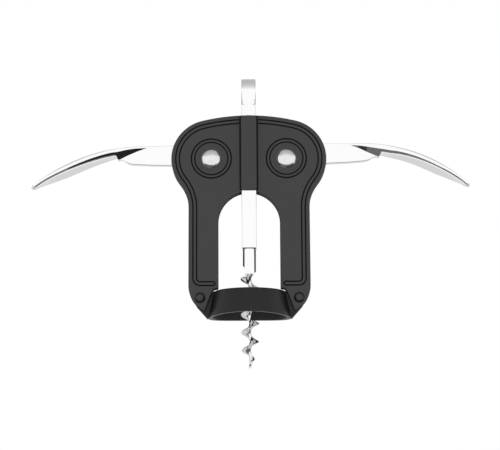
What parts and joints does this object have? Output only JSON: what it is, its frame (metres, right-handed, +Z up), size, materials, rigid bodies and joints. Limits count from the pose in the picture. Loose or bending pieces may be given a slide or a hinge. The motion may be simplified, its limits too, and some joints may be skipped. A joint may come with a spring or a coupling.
{
  "type": "wing corkscrew",
  "caption": "Wing corkscrew: black two-plate body with a flared bottle collar, toothed chrome levers, a sliding rack and a turning screw.",
  "frame": {"origin": "centre of the collar's lower rim, where the tool sits on a bottle", "axes": "+Z up the screw to the handle, X along the span of the levers, -Y the front"},
  "size_m": [0.2078, 0.0378, 0.1379],
  "materials": {
    "plate_black": "satin black powder coat",
    "collar_black": "satin black powder coat",
    "rivet_black": "satin black",
    "pin_chrome": "brushed chrome",
    "lever_chrome": "polished chrome",
    "rack_chrome": "polished chrome",
    "handle_chrome": "polished chrome",
    "worm_steel": "polished, plated steel wire",
    "plain_steel": "turned steel"
  },
  "bodies": {
    "frame": {"front_plate": "plate_black", "back_plate": "plate_black", "collar_front": "collar_black", "collar_back": "collar_black", "left_pivot_pin": "pin_chrome", "right_pivot_pin": "pin_chrome", "left_pivot_washer": "pin_chrome", "right_pivot_washer": "pin_chrome", "left_leg_rivet": "rivet_black", "right_leg_rivet": "rivet_black"},
    "rack": {"rack": "rack_chrome"},
    "screw": {"screw_shaft": "plain_steel", "lower_washer": "plain_steel", "ferrule": "rack_chrome", "ferrule_pin": "plain_steel", "worm": "worm_steel", "upper_washer": "plain_steel", "neck_sleeve": "handle_chrome", "handle": "handle_chrome", "handle_pin": "plain_steel"},
    "left_lever": {"left_lever": "lever_chrome"},
    "right_lever": {"right_lever": "lever_chrome"}
  },
  "joints": [
    {"name": "rack_slide", "type": "slide", "parent": "frame", "child": "rack", "axis": [0, 0, 1], "range_m": [-0.0052, 0.0188]},
    {"name": "right_lever_turn", "type": "hinge", "parent": "frame", "child": "right_lever", "pos_m": [0.0177, 0, 0.0744], "axis": [0, 1, 0], "range_deg": [-20, 72]},
    {"name": "left_lever_turn", "type": "hinge", "parent": "frame", "child": "left_lever", "pos_m": [-0.0177, 0, 0.0744], "axis": [0, -1, 0], "range_deg": [-20, 72]},
    {"name": "screw_spin", "type": "hinge", "parent": "rack", "child": "screw", "pos_m": [0, 0, 0.06], "axis": [0, 0, 1], "continuous": true}
  ],
  "couplings": [
    {"joint": "right_lever_turn", "follows": "rack_slide", "rad_per_m": 66.667},
    {"joint": "left_lever_turn", "follows": "rack_slide", "rad_per_m": 66.667}
  ]
}
